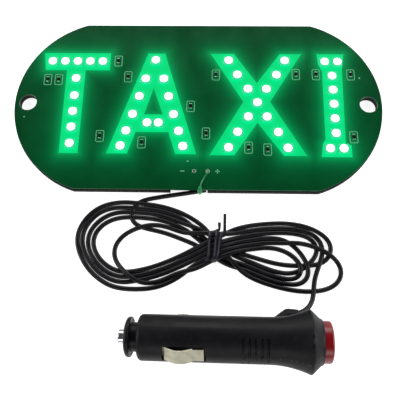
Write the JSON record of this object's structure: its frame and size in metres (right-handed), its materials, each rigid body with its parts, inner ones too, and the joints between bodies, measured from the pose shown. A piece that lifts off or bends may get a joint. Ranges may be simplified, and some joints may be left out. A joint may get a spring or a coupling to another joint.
{
  "type": "lit taxi sign with plug",
  "caption": "Oval circuit-board sign with green lamps that spell TAXI, a tied two-core lead and a switched vehicle power plug.",
  "frame": {"origin": "centre of the sign's underside, on the surface that it lies on", "axes": "+Z out of the lit face, +X along the sign's length to the right as it is read, +Y towards its upper edge"},
  "size_m": [0.2, 0.1883, 0.0284],
  "materials": {
    "solder_mask": "green solder mask, slightly glossy",
    "foam": "matt closed-cell foam",
    "lamp_white": "moulded white",
    "lamp_glow": "clear resin, lit green",
    "tin": "tinned",
    "chip_black": "matt glaze",
    "hot_melt": "translucent hot-melt glue",
    "cord_jacket": "soft PVC, satin",
    "core_black": "PVC insulation",
    "core_red": "PVC insulation",
    "tie_plastic": "plastic-coated wire ribbon",
    "shell_plastic": "moulded ABS, satin",
    "inner_plastic": "moulded, matt",
    "white_plastic": "moulded, matt",
    "screw_steel": "zinc plated",
    "spring_steel": "drawn wire",
    "nickel": "bright nickel plate",
    "contact_nickel": "dull nickel plate",
    "brass": "stamped",
    "fuse_glass": "clear glass",
    "red_lens": "translucent red acrylic"
  },
  "bodies": {
    "sign": {"circuit_board": "solder_mask", "backing_sheet": "foam", "led_bodies_t": "lamp_white", "led_bodies_a": "lamp_white", "led_bodies_x": "lamp_white", "led_bodies_i": "lamp_white", "led_windows_t": "lamp_glow", "led_windows_a": "lamp_glow", "led_windows_x": "lamp_glow", "led_windows_i": "lamp_glow", "led_legs_t": "tin", "led_legs_a": "tin", "led_legs_x": "tin", "led_legs_i": "tin", "resistor_bodies": "chip_black", "resistor_ends": "tin", "plated_holes": "tin", "solder_joints": "tin", "lead_positive": "core_black", "lead_negative": "core_black", "glue_bead": "hot_melt", "cord_board_end": "cord_jacket", "cord_coil": "cord_jacket", "cord_plug_end": "cord_jacket", "coil_tie": "tie_plastic", "shell_upper": "shell_plastic", "shell_lower": "shell_plastic", "shell_screws": "screw_steel", "cable_hood": "shell_plastic", "fuse_sleeve": "inner_plastic", "fuse_spring": "spring_steel", "centre_terminal": "brass", "ground_strap": "brass", "button_spring": "spring_steel", "switch_housing": "inner_plastic", "switch_terminals": "brass", "pilot_lamp": "red_lens", "live_lead": "core_red", "ground_lead": "core_black", "cord_cores": "core_black"},
    "fuse": {"fuse_tube": "fuse_glass", "fuse_caps": "brass", "fuse_element": "tin", "fuse_cup": "brass", "tip_spring": "spring_steel"},
    "nose_cap": {"nose_cap": "shell_plastic"},
    "tip": {"tip_pin": "nickel"},
    "left_contact": {"left_contact": "contact_nickel"},
    "right_contact": {"right_contact": "contact_nickel"},
    "button": {"push_button": "red_lens", "switch_plunger": "white_plastic"}
  },
  "joints": [
    {"name": "fuse_slide", "type": "slide", "parent": "sign", "child": "fuse", "axis": [-0.9986, 0.0122, -0.0505], "range_m": [0, 0.004], "deforming": ["fuse_spring"]},
    {"name": "cap_turn", "type": "hinge", "parent": "fuse", "child": "nose_cap", "pos_m": [-0.034, -0.123, 0.00979], "axis": [-0.9986, 0.0122, -0.0505], "range_deg": [0, 960]},
    {"name": "tip_press", "type": "slide", "parent": "nose_cap", "child": "tip", "axis": [0.9986, -0.0122, 0.0505], "range_m": [0, 0.0025], "stiffness_N_per_m": 800, "springref_m": -0.004, "deforming": ["tip_spring"]},
    {"name": "left_contact_flex", "type": "hinge", "parent": "sign", "child": "left_contact", "pos_m": [0.00813, -0.12872, 0.01678], "axis": [0.0286, -0.6824, -0.7304], "range_deg": [0, 5], "stiffness_Nm_per_rad": 0.8, "springref_deg": -1.72},
    {"name": "right_contact_flex", "type": "hinge", "parent": "sign", "child": "right_contact", "pos_m": [0.00875, -0.11832, 0.00709], "axis": [-0.0286, 0.6824, 0.7304], "range_deg": [0, 5], "stiffness_Nm_per_rad": 0.8, "springref_deg": -1.72},
    {"name": "button_press", "type": "slide", "parent": "sign", "child": "button", "axis": [-0.9986, 0.0122, -0.0505], "range_m": [0, 0.002], "stiffness_N_per_m": 900, "springref_m": -0.002, "deforming": ["button_spring"]}
  ],
  "couplings": [
    {"joint": "cap_turn", "follows": "fuse_slide", "rad_per_m": 4188.7}
  ]
}
